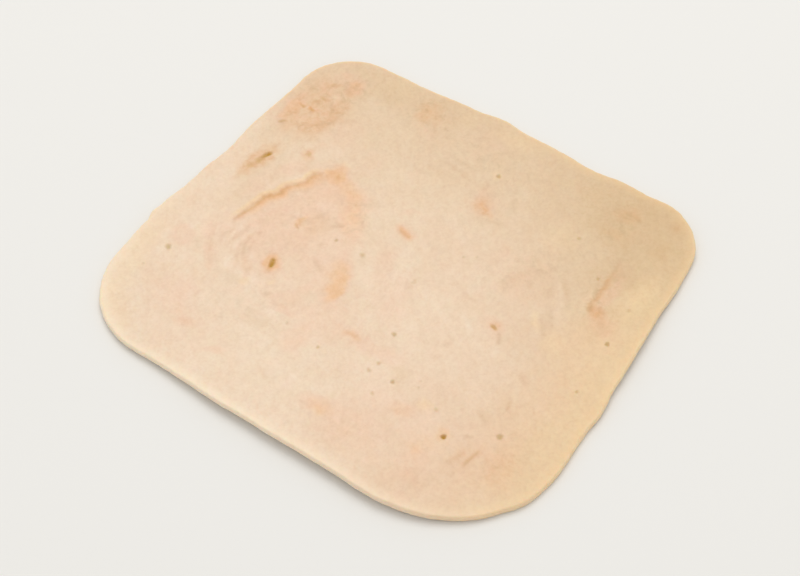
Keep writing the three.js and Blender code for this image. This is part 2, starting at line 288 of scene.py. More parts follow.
# The same of rusty flesh.
RUST_LINES = [
    (1.5, 0.42, [
        (11, -39), (12.6, -36.8), (15, -35.5), (18.4, -35.6), (21.4, -35.3), (25, -35.1),
        (29, -34.9),
    ]),
    (1.8, 0.4, [(-2, 26.6), (-1.4, 25.6), (-2.2, 24.6)]),
    (1.3, 0.14, [(-32.6, -35.9), (-29.8, -36.3), (-26.8, -36.8)]),
    (1.4, 0.12, [(-33, -33.2), (-30.6, -34), (-28.4, -34.3)]),
    (1.3, 0.12, [(-7, -32.6), (-8.5, -34.5), (-9.6, -36)]),
    (1.4, 0.2, [(-17.4, 25.8), (-16.4, 28), (-14.8, 29.6)]),
    (1.8, 0.16, [(8.6, 30.8), (10.8, 30.6), (12.6, 29.8), (14.2, 28.6), (15.2, 27)]),
    (2.4, 0.14, [(21, 41.4), (22.6, 39.4), (25, 37.6), (28.4, 37), (31.6, 37.2), (34.4, 38)]),
    (1.6, 0.3, [(26.4, 42), (28.6, 43.4), (30.4, 42.6), (31, 40.8)]),
    (1.4, 0.3, [(33, 44.6), (35, 43.4), (36.2, 41.6)]),
    (2.6, 0.35, [(33.4, 39), (36.6, 38.6), (40, 39)]),
    (1.4, 0.62, [(8, 3.2), (8.7, 5), (9.3, 6.8), (10.3, 9.2)]),
]
# The same of pink flesh.
PINK_LINES = [
    (6.2, 0.34, [
        (9.4, 29.6), (12.2, 28.9), (13.4, 27), (12.7, 25), (11.9, 22.6), (10.5, 20), (8.2, 18.2),
    ]),
    (4.2, 0.3, [(13.2, 23), (11.6, 20), (8.8, 18.2), (6, 16.6), (3.6, 14.6)]),
    (2.2, 0.7, [(8.2, 2.8), (9, 5), (9.7, 7), (10.4, 9.4)]),
    (2.6, 0.2, [(-19.4, 17), (-17, 14.8), (-13, 13.6), (-8, 13.8), (-3, 14.6)]),
]
# The share of its way over which a line sets in or dies away.
LINE_ENDS = 0.3
# How much less than the coloured areas the lines stray.
LINE_STRAY = 0.25

# Oval spots of each kind: x, y, length, width, turn, strength and softness.
# Pink flesh in the cream.
PINK = [
    (-13.3, 23.5, 5.6, 3.6, 20, 0.8, 0.7),
    (14.5, 27.2, 5.2, 4.8, 20, 0.6, 0.5),
    (12.6, 23, 6.4, 3.4, 80, 0.35, 0.7),
    (10.6, 18.6, 5, 4, 40, 0.25, 0.7),
    (6.8, 19.6, 8, 5, 40, 0.3, 0.8),
    (8, 26.4, 6, 5, -60, 0.3, 0.8),
    (4, 16, 8, 5.4, 40, 0.36, 0.7),
    (-9.8, 9.9, 12.4, 5, 17, 0.62, 0.6),
    (-10.8, 8.8, 8.4, 2.8, 10, 0.6, 0.6),
    (-6.4, 11, 5, 3, 34, 0.25, 0.8),
    (10, 29.8, 7.4, 3, -24, 0.45, 0.8),
    (-36.4, -5.4, 6.8, 3.8, 96, 0.54, 0.8),
    (-37.4, -5.8, 3.6, 1.4, 90, 0.2, 0.8),
    (-36.8, -13.5, 11, 9, 70, 0.26, 0.8),
    (-18.7, -0.8, 6.6, 3.4, 86, 0.42, 0.8),
    (-18.6, -0.8, 3, 1.3, 86, 0.35, 0.8),
    (-18.9, 10, 26, 3.4, 88, 0.22, 0.9),
    (-21.3, 14.8, 5.4, 1.8, 86, 0.35, 0.7),
    (-19.4, 18, 4, 1.6, -60, 0.2, 0.7),
    (-25, 8, 8, 5, -12, 0.35, 0.4),
    (-22, 3.4, 5, 4, -40, 0.25, 0.6),
    (-39, -13, 9, 10, 0, 0.22, 0.9),
    (-38.5, -28.5, 12, 8, 10, 0.28, 0.9),
    (-35, 28, 9, 6, 0, 0.1, 0.9),
    (-34.7, 28.1, 5, 2.6, -60, 0.36, 0.7),
    (-37.6, 19.6, 4.4, 1.8, -60, 0.4, 0.6),
    (14, -22, 18, 9, 30, 0.1, 0.9),
    (15, -13.6, 7, 4, 20, 0.16, 0.7),
    (11, -20, 8, 4, -20, 0.16, 0.7),
    (37, 18, 10, 7, 0, 0.12, 0.9),
    (-0.4, -22.8, 4.6, 3, 60, 0.45, 0.7),
    (-0.1, 25.6, 3.4, 1.3, -24, 0.5, 0.7),
    (-8.8, -35, 5.6, 1.4, 42, 0.15, 0.8),
    (-2, 28, 24, 16, -10, 0.4, 0.6),
    (-9, 15.6, 15, 5, 6, 0.18, 0.8),
    (-2, 13.4, 12, 4, 6, 0.22, 0.8),
    (-20.4, 9.6, 5, 6, 0, 0.2, 0.8),
    (-14, 19, 6, 5, 0, 0.15, 0.8),
    (-16, 27, 5, 4, 0, 0.15, 0.8),
    (-40, -20.4, 7, 5, 0, 0.22, 0.8),
    (-29, 34, 8, 5, 0, 0.15, 0.8),
    (-4, 19, 13, 9, 10, 0.2, 0.7),
    (-18.4, 35.8, 8, 2, 42, 0.3, 0.8),
    (-13.2, 40.4, 5, 2.6, 35, 0.3, 0.6),
    (-17.6, 43.4, 6, 5, 40, 0.35, 0.35),
    (-30.8, 36, 14, 8, 55, 0.22, 0.7),
    (4, 39, 10, 4, -10, 0.24, 0.8),
    (10.4, 35.4, 6, 3.4, -40, 0.3, 0.8),
    (-11, 38.6, 9, 5, 20, 0.24, 0.8),
    (-19, -9, 4, 7, 0, 0.3, 0.8),
    (-28, -19.5, 3, 6, 20, 0.35, 0.7),
    (-34.6, -26.8, 3.8, 2.2, 20, 0.3, 0.9),
    (-0.6, 4.4, 9, 4, 22, 0.25, 0.5),
    (-6.2, -1.8, 10, 6, 24, 0.26, 0.7),
    (-15, 4, 6, 5, 0, 0.2, 0.6),
    (24.8, 47, 10, 3.6, 0, 0.6, 0.5),
    (37.4, 38.8, 5.6, 3.4, -10, 0.5, 0.6),
    (38.6, 41.4, 4, 5, 0, 0.35, 0.7),
    (33.8, 44, 6, 4, 0, 0.2, 0.7),
    (19, -37.3, 10, 2.4, 2, 0.4, 0.7),
    (12, -40, 7, 4, 60, 0.32, 0.7),
    (25.6, -2.5, 7, 5, 30, 0.42, 0.8),
    (21, 23, 7, 5, 0, 0.15, 0.7),
    (14.4, 8.6, 3.4, 1.4, -40, 0.3, 0.7),
    (-26, -36, 60, 40, 0, 0.16, 0.8),
    (23, 32.6, 10, 9, 0, 0.2, 0.8),
    (-10, -5, 7, 6, 30, 0.16, 0.8),
    (-29, -13.6, 10, 8, 0, 0.22, 0.8),
    (-30.6, -25.4, 9, 13, 0, 0.22, 0.8),
    (5, -40, 20, 9, 0, 0.18, 0.8),
    (-25, -38, 12, 9, 0, 0.22, 0.8),
    (41, 6, 8, 9, 0, 0.12, 0.8),
    (-10, -41, 10, 8, 0, 0.16, 0.8),
    (-33, -40, 18, 10, -20, 0.16, 0.8),
    (-31, 34, 8, 5, 0, 0.1, 0.8),
]

# Rusty orange flesh.
RUST = [
    (27.8, 42.4, 18, 12, 4, 0.3, 0.45),
    (23.8, 45.9, 4.6, 2, 0, 0.35, 0.7),
    (20.4, 44.4, 3.8, 2.8, 0, 0.26, 0.8),
    (27.6, 42.2, 4, 5, 30, 0.3, 0.7),
    (22.6, 41, 5, 7, -30, 0.3, 0.7),
    (28, 38.4, 9, 3, 0, 0.26, 0.8),
    (26.5, 45.4, 1.8, 1.1, 80, 0.7, 0.6),
    (26.7, 43, 1.4, 1, 80, 0.7, 0.6),
    (8.8, 43.3, 10.6, 4, -10, 0.6, 0.6),
    (4.6, 44.2, 5.4, 2, 0, 0.26, 0.8),
    (14.4, 27.2, 4.4, 3.4, 20, 0.28, 0.7),
    (11.6, 30, 4.6, 1.6, -40, 0.1, 0.8),
    (-13.4, 23.5, 4.6, 2.8, 20, 0.33, 0.7),
    (15.6, 35.7, 3.2, 2.6, 40, 0.5, 0.6),
    (24.5, -2.9, 3.6, 2.8, 30, 0.6, 0.9),
    (24.6, -3, 1.5, 1.1, 40, 0.55, 0.8),
    (23.6, -4.6, 3.8, 1.6, 64, 0.4, 0.8),
    (13.8, -37.6, 4, 2.5, 60, 0.6, 0.8),
    (13.9, -37.4, 2.2, 1.2, 65, 0.5, 0.7),
    (17.4, -35.5, 1.6, 0.9, 0, 0.35, 0.7),
    (20, -35.4, 1.5, 0.9, 0, 0.35, 0.7),
    (22.2, -35.2, 1.5, 0.9, 0, 0.35, 0.7),
    (-28.5, -42.4, 9, 5, 10, 0.24, 0.8),
    (11, -40.8, 6, 4, 50, 0.12, 0.8),
    (-28.2, -18.4, 2.4, 3.6, 10, 0.15, 0.8),
    (-30, -36.3, 6, 1.8, -6, 0.2, 0.8),
    (-30.6, -34.2, 5, 1.4, -6, 0.16, 0.8),
    (38.4, 22, 3.4, 3, 30, 0.14, 0.8),
    (40.7, 21.7, 5.2, 4.4, 10, 0.38, 0.8),
    (40.4, 17.6, 4, 4, 0, 0.12, 0.8),
    (-0.3, -22.8, 2.4, 2, 60, 0.5, 0.7),
    (-28.4, -29, 2.4, 2.2, 0, 0.4, 0.6),
    (39.8, -29.5, 4.2, 5.4, 0, 0.28, 0.5),
    (33.8, -29.5, 2.2, 6, 0, 0.14, 0.8),
    (34.8, -39.8, 4.6, 2.8, 0, 0.14, 0.8),
    (42.9, -39.6, 3.4, 2.8, 0, 0.2, 0.8),
]

# Broken up by small brown flecks.
FLECKS = [
    (28.4, 42, 20, 13, 4, 0.55, 0.5),
    (37.6, 38.6, 8, 5, -10, 0.5, 0.7),
    (37, -29.5, 10, 8, 0, 0.5, 0.7),
    (14, -19.5, 15, 11, -20, 0.5, 0.9),
    (14, -37.5, 9, 6, 40, 0.4, 0.8),
    (-37, -12, 9, 11, 0, 0.25, 0.9),
    (7, 17, 11, 7, 30, 0.6, 0.8),
    (-10, 9.5, 12, 5, 15, 0.25, 0.8),
    (24.8, -4.5, 8, 9, 0, 0.4, 0.9),
    (21, -35.6, 16, 4, 0, 0.6, 0.8),
    (-28, -42, 16, 7, 10, 0.35, 0.9),
    (0, 28, 26, 14, 0, 0.35, 0.9),
    (40, 21, 9, 10, 0, 0.5, 0.9),
    (36, 6, 12, 30, 0, 0.35, 0.9),
    (-24, 22, 14, 16, 0, 0.3, 0.9),
]

# Yellow-brown ground, strongest towards the right and the lower edge: partly the meat's own tone, partly
# painted shade where the slice curls up away from the light.
OCHRE_AND_SHADE = [
    (62, -4, 72, 150, 0, 0.66, 0.8),
    (0, 0, 90, 120, 0, 0.08, 0.9),
    (46, -42, 50, 46, -10, 0.7, 0.8),
    (20, -56, 120, 56, 0, 0.6, 0.8),
    (-32, -48, 46, 30, -30, 0.29, 0.8),
    (11, -40, 12, 9, 20, 0.42, 0.9),
    (40, -32, 16, 22, 0, 0.45, 0.8),
    (26, -42, 22, 12, 0, 0.25, 0.8),
    (42, 35, 9, 18, 0, 0.32, 0.8),
    (3, -42, 22, 11, 0, 0.34, 0.8),
    (-28, -42, 10, 7, 0, 0.18, 0.8),
    (22, 28, 15, 13, 0, 0.1, 0.9),
    (-10, -51, 62, 15, 0, 0.46, 0.8),
    (30, 47, 16, 6, 0, 0.34, 0.8),
    (15, 46.4, 10, 6, 0, 0.16, 0.8),
    (41, 20, 9, 11, 0, 0.24, 0.8),
    (42, 31, 7, 5, 0, 0.2, 0.8),
    (37.6, 39.4, 7, 7, 0, 0.34, 0.8),
    (14, -20, 8, 7, 0, 0.12, 0.8),
    (5, 40.5, 18, 7, 0, 0.2, 0.9),
    (39.8, -29.4, 4.6, 5.8, 0, 0.5, 0.45),
    (37, -29.6, 9, 8, 0, 0.3, 0.8),
    (33.6, -30, 2.4, 7, 0, 0.5, 0.7),
    (34.6, -39.8, 4.4, 3, 0, 0.4, 0.7),
    (42.8, -38.9, 3, 3, 0, 0.4, 0.7),
    (-26.6, 16.6, 3.8, 7, 0, 0.18, 0.8),
    (-22, -14.6, 5.4, 3.4, 40, 0.26, 0.6),
    (1, 22, 6, 5, -30, 0.3, 0.6),
    (-39.6, -32, 5, 4, 0, 0.2, 0.8),
    (-42, -22, 16, 24, 0, 0.16, 0.9),
]

# Golden places, of fat just under the surface.
GOLD = [
    (-14, -52, 84, 26, 0, 0.5, 0.8),
    (8, -41, 24, 12, 10, 0.25, 0.9),
    (-26, 48.6, 24, 5, 12, 0.25, 0.8),
    (-40.6, 42, 5, 14, -35, 0.2, 0.8),
    (-28.6, -29.2, 3.4, 3.2, 0, 0.35, 0.6),
    (22, -43, 10, 5, 0, 0.4, 0.8),
    (26.8, -20.6, 7, 6, 0, 0.2, 0.8),
    (43.4, 13.4, 5, 4, 0, 0.12, 0.8),
    (43.4, 31, 4, 7, 0, 0.1, 0.8),
    (44.2, 1, 3.6, 9, 0, 0.25, 0.8),
    (14.3, 29.4, 1.5, 0.9, 30, 0.9, 0.6),
    (33.6, -1.1, 2.6, 2.4, 0, 0.35, 0.7),
    (-24.6, -22.2, 2.4, 3, 0, 0.4, 0.8),
    (-31.6, -28, 3, 6, 0, 0.2, 0.8),
    (2.4, -34.6, 5, 4, 30, 0.35, 0.8),
    (-37.8, -6.2, 1.4, 3, 0, 0.5, 0.8),
    (6, 16.4, 9, 5, 32, 0.28, 0.8),
    (12.4, 22, 5, 3, 80, 0.3, 0.8),
    (5, -28.6, 4, 1.4, 42, 0.4, 0.8),
    (-17, 20.8, 1.6, 1.2, 0, 0.5, 0.8),
    (17.2, 27.2, 1.6, 2.2, 20, 0.3, 0.8),
    (-20, 25.4, 2, 1.6, 0, 0.4, 0.8),
    (-2, 35, 6, 1.4, -8, 0.4, 0.8),
]

# Pale flecks and patches.
PALE = [
    (29.8, -24.7, 1.2, 0.9, 0, 0.5, 0.8),
    (18.6, 31.8, 6, 3, -42, 0.4, 0.8),
    (4.8, 25.8, 4.2, 2.2, -50, 0.25, 0.8),
    (-23.2, 16, 2.2, 2.8, 0, 0.5, 0.8),
    (-23.3, 44.7, 2.6, 1.6, 30, 0.3, 0.8),
    (-37.4, 28.8, 2.6, 3, 0, 0.3, 0.8),
    (-14, -27, 17, 11, 10, 0.2, 0.9),
    (-25, 15.5, 7, 7, 0, 0.2, 0.9),
    (-6, 5, 7, 3, 40, 0.35, 0.8),
    (8.4, 33.4, 3, 1.6, -50, 0.4, 0.8),
    (-33, 10, 36, 60, 0, 0.16, 0.9),
    (28.4, -28, 8, 6, 20, 0.45, 0.8),
    (20.5, -18.6, 11, 6, 0, 0.24, 0.8),
    (-8, -28.6, 11, 8, 0, 0.2, 0.8),
]

# Paleness towards the edge, partly the meat's paler edge and partly painted light on the wall and the left
# side:
# reach and strength of a thin line all round and of a band of painted light on the left,
# the way in which the band lies, and the share of its strength that the line keeps opposite it.
RIM_LINE = (0.9, 0.35)
PAINTED_LIGHT_BAND = (3.4, 0.52)
PAINTED_LIGHT_WAY = (-0.95, 0.31)
RIM_LINE_LEAST = 0.4
# How many points stand for the edge where depths from it are measured.
RIM_SAMPLES = 1200
# Painted light: a golden glow painted along the edge where light would come through it: the way it faces,
# reach and strength.
PAINTED_GLOW_BANDS = [(0.4, -0.9, 3.2, 0.4), (1.0, 0.0, 1.0, 0.6)]
# How much wider than a plain cosine it spreads round that way.
PAINTED_GLOW_SPREAD = 1.4

# How far the edges of the coloured areas stray, over what length, and the seeds for x and y.
STRAY = (0.42, 2.8)
STRAY_SEEDS = (21, 22)

# Fibres run in arcs round the swirl, and aslant elsewhere. Along them the pattern is drawn out.
SWIRL = (-10.0, 25.0)
SWIRL_REACH = 26.0
SWIRL_ARC = 14.0
FIBRE_SLANT = 40.0
FIBRE_DRAW = 0.16
SMALLEST_RADIUS = 1e-6

# Low relief of the upper face and roughness of the rim: length, size and seed of each kind of wave.
WAVY = (8.0, 0.03, 3)
LUMPY = (2.6, 0.012, 5)
FIBROUS = (1.1, 0.01, 7)
RIM_ROUGH = (1.6, 0.05, 11)
# The rim's roughness follows a quarter turn of a sine up the wall, from this angle in radians.
RIM_ROUGH_START = 0.4
# Each kind is a sum of this many waves, whose lengths differ between these factors.
RIPPLE_WAVES = 28
RIPPLE_SPREAD = (0.7, 1.4)

# The mesh: rings of triangles from the middle to the edge, finer near pits and the seam.
SECTORS = 6
UPPER_RINGS = 138
UNDER_RINGS = 44
ROUND_STEPS = 4
WALL_STEPS = 3
# Triangles nearer a pit than the first reach are made finer once, and within the second once more.
REFINE_REACHES = [1.1, 0.5]
# The same for the seam: a reach that shrinks as the pits' does, and one that is added to it.
SEAM_REFINE = 0.9
SEAM_REFINE_MARGIN = 0.2

# Camera at the photograph's place, turned to the slice, in millimetres.
CAMERA_PLACE = (-220.0, -153.6, 325.6)
CAMERA_AIM = (-3.5, -1.9, 1.5)
CAMERA_LENS = 93

# Soft studio light and a wide floor, in metres and watts.
WORLD_COLOUR = (1.0, 0.99, 0.97, 1)
WORLD_STRENGTH = 0.75
LAMP_PLACE = (0.4, 0.22, 0.95)
LAMP_SIZE = 0.7
LAMP_POWER = 3.6
LAMP_COLOUR = (1.0, 0.985, 0.96)
FLOOR_RADIUS = 3.0
FLOOR_SIDES = 96


def fade(share):
    """1 at 0, and nothing from 1 on."""
    return np.cos(math.pi / 2 * np.clip(share, -1, 1)) ** 2


def smooth(share):
    """0 up to 0, 1 from 1 on, and a smooth step between."""
    t = np.clip(share, 0, 1)
    return t * t * (3 - 2 * t)


def turned(x, y, degrees):
    """Coordinates along and across a direction."""
    cos, sin = math.cos(math.radians(degrees)), math.sin(math.radians(degrees))
    return x * cos + y * sin, y * cos - x * sin


def unit(way):
    return way / np.linalg.norm(way, axis=-1, keepdims=True)


def bezier(points, steps):
    """Points of a Bezier curve, without its last one."""
    share = np.linspace(0, 1, steps, endpoint=False)[:, None]
    row = [np.asarray(p, float)[None] for p in points]
    while len(row) > 1:
        row = [a + (b - a) * share for a, b in zip(row, row[1:])]
    return row[0]


def plain_outline():
    """Bowed sides joined by round corners, anticlockwise, as a closed polyline."""
    points = [np.array(corner[:2]) for corner in CORNERS]
    cuts = [corner[2] for corner in CORNERS]
    curves = []
    for i, here in enumerate(points):
        following = (i + 1) % len(points)
        before, after = points[i - 1], points[following]
        begin = here + unit(before - here) * cuts[i]
        end = here + unit(after - here) * cuts[i]
        beyond = after + unit(here - after) * cuts[following]
        leave = begin + (here - begin) * ROUND_HANDLE
        arrive = end + (here - end) * ROUND_HANDLE
        side = unit(beyond - end)
        bowed = (end + beyond) / 2 + np.array([side[1], -side[0]]) * 2 * SIDE_BOWS[i]
        curves.append(bezier([begin, leave, arrive, end], CURVE_STEPS))
        curves.append(bezier([end, bowed, beyond], CURVE_STEPS))
    outline = np.vstack(curves)
    return np.vstack([outline, outline[:1]])


OUTLINE = plain_outline()
OUTLINE_RUN = np.r_[0, np.cumsum(np.linalg.norm(np.diff(OUTLINE, axis=0), axis=1))]
OUTLINE_RUN /= OUTLINE_RUN[-1]


def on_outline(share):
    share = share % 1
    return np.stack([np.interp(share, OUTLINE_RUN, OUTLINE[:, i]) for i in (0, 1)], axis=-1)


def edge(share):
    """The real edge at a share of the way round."""
    place = on_outline(share)
    way = unit(on_outline(share + TANGENT_STEP) - on_outline(share - TANGENT_STEP))
    stand_out = np.zeros(len(share))
    for x, y, reach, rise in EDGE_BUMPS:
        stand_out += rise * fade(np.hypot(place[:, 0] - x, place[:, 1] - y) / reach)
    for waves, size, phase in EDGE_WAVES + EDGE_NICKS:
        stand_out += size * np.sin(2 * math.pi * waves * share + phase)
    return place + np.stack([way[:, 1], -way[:, 0]], axis=-1) * stand_out[:, None]


def lift(x, y):
    """Height of the underside over the surface that the slice lies on."""
    height = np.zeros_like(x)
    for angle, start, run, rise, middle, half_width in LIFTS:
        along, across = turned(x, y, angle)
        share = np.clip((along - start) / run, 0, LIFT_OVERRUN)
        height += rise * share**2 * fade((across - middle) / half_width)
    return height


def thickness(x, y):
    total = np.full_like(x, THICKNESS)
    for length, angle, size, phase in THICKNESS_WAVES:
        along = x * math.cos(angle) + y * math.sin(angle)
        total += size * np.sin(2 * math.pi * along / length + phase)
    return total


def route_place(x, y, route):
    """Distance from a route, more than 0 on its left, and the share of the way along it."""
    route = np.array(route)
    distance = np.full(x.shape, np.inf)
    share = np.zeros_like(x)
    for i, (start, way) in enumerate(zip(route, np.diff(route, axis=0))):
        ax, ay = x - start[0], y - start[1]
        along = np.clip((ax * way[0] + ay * way[1]) / (way @ way), 0, 1)
        away = np.hypot(ax - along * way[0], ay - along * way[1])
        left = np.where(way[0] * ay - way[1] * ax > 0, 1.0, -1.0)
        nearer = away < np.abs(distance)
        distance = np.where(nearer, away * left, distance)
        share = np.where(nearer, (i + along) / (len(route) - 1), share)
    return distance, share


def seam_strength(share):
    """How deep and dark the seam is along its way, falling to nothing at its two ends."""
    course = np.interp(share, *zip(*SEAM_COURSE))
    return course * smooth(share / SEAM_ENDS[0]) * smooth((1 - share) / SEAM_ENDS[1])


def strokes_mask(x, y, strokes):
    """How strongly thin bowed strokes cover each point."""
    bare = np.ones_like(x)
    for stroke_x, stroke_y, length, width, turn, bow, strength in strokes:
        along, across = turned(x - stroke_x, y - stroke_y, turn)
        share = along * 2 / length
        off = (across - bow * (0.5 - share**2)) * 2 / width
        bare *= 1 - strength * fade(share) * np.exp(-(off**2))
    return 1 - bare


def lines_mask(x, y, lines):
    """How strongly thin lines cover each point."""
    bare = np.ones_like(x)
    for width, strength, route in lines:
        distance, share = route_place(x, y, route)
        ends = smooth(share / LINE_ENDS) * smooth((1 - share) / LINE_ENDS)
        bare *= 1 - strength * ends * np.exp(-((distance * 2 / width) ** 2))
    return 1 - bare


def pit_radius(x, y, pit):
    """0 in the middle of a pit and 1 on its uneven rim."""
    along, across = turned(x - pit.x, y - pit.y, pit.turn)
    along, across = along / (pit.length / 2), across / (pit.width / 2)
    angle = np.arctan2(across, along)
    rim = 1 + sum(size * np.sin(waves * angle + phase + pit.x) for waves, size, phase in PIT_RAGGED)
    return np.hypot(along, across) / rim


def spots_mask(x, y, spots):
    """How strongly the spots of one kind cover each point."""
    bare = np.ones_like(x)
    for spot_x, spot_y, length, width, turn, strength, softness in spots:
        along, across = turned(x - spot_x, y - spot_y, turn)
        radius = np.hypot(along / (length / 2), across / (width / 2))
        bare *= 1 - strength * (1 - smooth((radius - 1 + softness) / (2 * softness)))
    return 1 - bare


def ripple(places, length, seed):
    """Seeded noise made of waves about as long as length, mostly from -1 to 1."""
    draw = np.random.default_rng(seed)
    total = np.zeros(len(places))
    for _ in range(RIPPLE_WAVES):
        way = unit(draw.normal(size=places.shape[1])) / (length * draw.uniform(*RIPPLE_SPREAD))
        total += np.sin(2 * math.pi * (places @ way + draw.uniform()))
    return total / math.sqrt(2 * RIPPLE_WAVES)


def fibre_places(x, y):
    """Places in which the fibres are straight and drawn out, so that even noise runs along them."""
    dx, dy = x - SWIRL[0], y - SWIRL[1]
    radius = np.maximum(np.hypot(dx, dy), SMALLEST_RADIUS)
    swirl = fade(radius / SWIRL_REACH)
    along, across = turned(x, y, FIBRE_SLANT)
    round_x = SWIRL_ARC * dx / radius * FIBRE_DRAW
    round_y = SWIRL_ARC * dy / radius * FIBRE_DRAW
    return np.stack(
        [
            swirl * round_x + (1 - swirl) * along * FIBRE_DRAW,
            swirl * round_y,
            swirl * radius + (1 - swirl) * across,
        ],
        axis=-1,
    )


def upper_relief(x, y):
    """What stands over or under the plain upper face: seam, pits and low waves."""
    distance, share = route_place(x, y, SEAM)
    taper = seam_strength(share)
    lip = SEAM_LIP * taper * fade(distance / SEAM_LIP_REACH) * smooth(0.5 + distance / SEAM_LIP_RAMP)
    reach = np.where(distance > 0, SEAM_GROOVE_OUTER, SEAM_GROOVE_INNER)
    groove = SEAM_GROOVE_DEPTH * taper * np.exp(-((distance / reach) ** 2))
    relief = lip - groove
    for pit in PITS:
        relief -= pit.depth * np.clip(1 - pit_radius(x, y, pit) ** 2, 0, 1) ** PIT_SOFTNESS
    flat = np.stack([x, y], axis=-1)
    for (length, size, seed), spread in ((WAVY, flat), (LUMPY, flat), (FIBROUS, fibre_places(x, y))):
        relief += size * ripple(spread, length, seed)
    return relief


def stitch(inner, outer):
    """Triangles between two closed rows of points, anticlockwise with outer outside."""
    faces = []
    i = j = 0
    while i < len(inner) or j < len(outer):
        next_inner, next_outer = inner[(i + 1) % len(inner)], outer[(j + 1) % len(outer)]
        here_inner, here_outer = inner[i % len(inner)], outer[j % len(outer)]
        if (j + 1) * len(inner) <= (i + 1) * len(outer) and j < len(outer):
            faces.append((here_inner, here_outer, next_outer))
            j += 1
        else:
            faces.append((here_inner, here_outer, next_inner))
            i += 1
    return faces


def add_row(points, plan, share, rise):
    """Adds a row of points, each with its place, its share of the thickness and a further rise."""
    first = len(points)
    points.extend([x, y, share, rise] for x, y in plan)
    return list(range(first, first + len(plan)))


def inset(plan, depth):
    return plan - unit(plan) * depth


def face_rings(points, rings, share):
    """One face as rings of triangles. Returns its triangles and its outermost row."""
    faces = []
    inner = add_row(points, [(0, 0)], share, 0)
    for ring in range(1, rings + 1):
        count = SECTORS * ring
        plan = inset(edge(np.arange(count) / count), EDGE_ROUND) * ring / rings
        outer = add_row(points, plan, share, 0)
        if ring == 1:
            faces += [(inner[0], a, b) for a, b in zip(outer, outer[1:] + outer[:1])]
        else:
            faces += stitch(inner, outer)
        inner = outer
    return faces, inner


def rounding(step):
    """How far a step of the rounded edge lies in from the wall, and how far from the face."""
    angle = math.pi / 2 * (1 - step / ROUND_STEPS)
    return EDGE_ROUND * (1 - math.cos(angle)), EDGE_ROUND * (1 - math.sin(angle))


def rim_rows(points):
    """Rows of the rim from just under the upper face down to just over the underside."""
    count = SECTORS * UPPER_RINGS
    plan = edge(np.arange(count) / count)
    rows = []
    for step in range(1, ROUND_STEPS + 1):
        depth, drop = rounding(step)
        rows.append(add_row(points, inset(plan, depth), 1, -drop))
    for step in range(1, WALL_STEPS):
        down = step / WALL_STEPS
        rows.append(add_row(points, plan, 1 - down, EDGE_ROUND * (2 * down - 1)))
    for step in range(ROUND_STEPS, 0, -1):
        depth, drop = rounding(step)
        rows.append(add_row(points, inset(plan, depth), 0, drop))
    return rows


def near_features(points, reach):
    """Which points of the upper face lie within reach of a pit, or of the seam."""
    x, y = points[:, 0], points[:, 1]
    distance, _ = route_place(x, y, SEAM)
    near = np.abs(distance) < SEAM_REFINE * reach / REFINE_REACHES[0] + SEAM_REFINE_MARGIN
    for pit in PITS:
        along, across = turned(x - pit.x, y - pit.y, pit.turn)
        past_end = np.maximum(np.abs(along) - pit.length / 2, 0)
        past_side = np.maximum(np.abs(across) - pit.width / 2, 0)
        near |= np.hypot(past_end, past_side) < reach
    return near


def refine(points, faces, near):
    """Halves each edge whose two ends are near a feature, and the triangles beside it to match."""
    middles = {}

    def middle(a, b):
        key = (min(a, b), max(a, b))
        if key not in middles:
            middles[key] = len(points)
            points.append([(p + q) / 2 for p, q in zip(points[a], points[b])])
        return middles[key]

    finer = []
    for face in faces:
        cut = [i for i in range(3) if near[face[i]] and near[face[(i + 1) % 3]]]
        if len(cut) == 3:
            a, b, c = face
            ab, bc, ca = middle(a, b), middle(b, c), middle(c, a)
            finer += [(a, ab, ca), (ab, b, bc), (ca, bc, c), (ab, bc, ca)]
        elif cut:
            a, b, c = (face[(cut[0] + i) % 3] for i in range(3))
            ab = middle(a, b)
            finer += [(a, ab, c), (ab, b, c)]
        else:
            finer.append(face)
    return finer


def slice_plan():
    """All points as plan place, share of the thickness and rise, and the triangles of the slice."""
    points = []
    upper, upper_edge = face_rings(points, UPPER_RINGS, 1)
    for reach in REFINE_REACHES:
        upper = refine(points, upper, near_features(np.array(points), reach))
    under, under_edge = face_rings(points, UNDER_RINGS, 0)
    faces = upper + [(a, c, b) for a, b, c in under]
    rows = [upper_edge] + rim_rows(points)
    for inner, outer in zip(rows, rows[1:]):
        faces += stitch(inner, outer)
    faces += [(a, c, b) for a, b, c in stitch(under_edge, rows[-1])]
    return np.array(points), faces


def slice_places(points):
    """The points of the slice in millimetres, before it is set over the frame's place."""
    x, y, share, rise = points.T
    z = lift(x, y) + share * thickness(x, y) + rise
    on_top = (share == 1) & (rise == 0)
    z[on_top] += upper_relief(x[on_top], y[on_top])
    places = np.stack([x, y, z], axis=-1)
    length, size, seed = RIM_ROUGH
    rough = size * ripple(places, length, seed) * np.sin(RIM_ROUGH_START + math.pi / 2 * share)
    rim = rise != 0
    places[rim, :2] += unit(places[rim, :2]) * rough[rim, None]
    return places


def joined(one, other):
    """Two masks over one another."""
    return 1 - (1 - one) * (1 - other)


def seam_masks(x, y):
    """How rusty, pink, golden and brown the seam is at each point."""
    distance, along = route_place(x, y, SEAM)
    taper = seam_strength(along)
    outer = distance > 0
    rust = SEAM_RUST[0] * taper * np.exp(-((distance / SEAM_RUST[1]) ** 2))
    pink = SEAM_PINK[0] * taper * fade(distance / SEAM_PINK[1]) * ~outer
    gold = SEAM_GOLD[0] * taper * fade(distance / SEAM_GOLD[1] - 1) * outer
    brown = SEAM_BROWN[0] * taper * np.exp(-((distance / SEAM_BROWN[1]) ** 2))
    return rust, pink, gold, brown


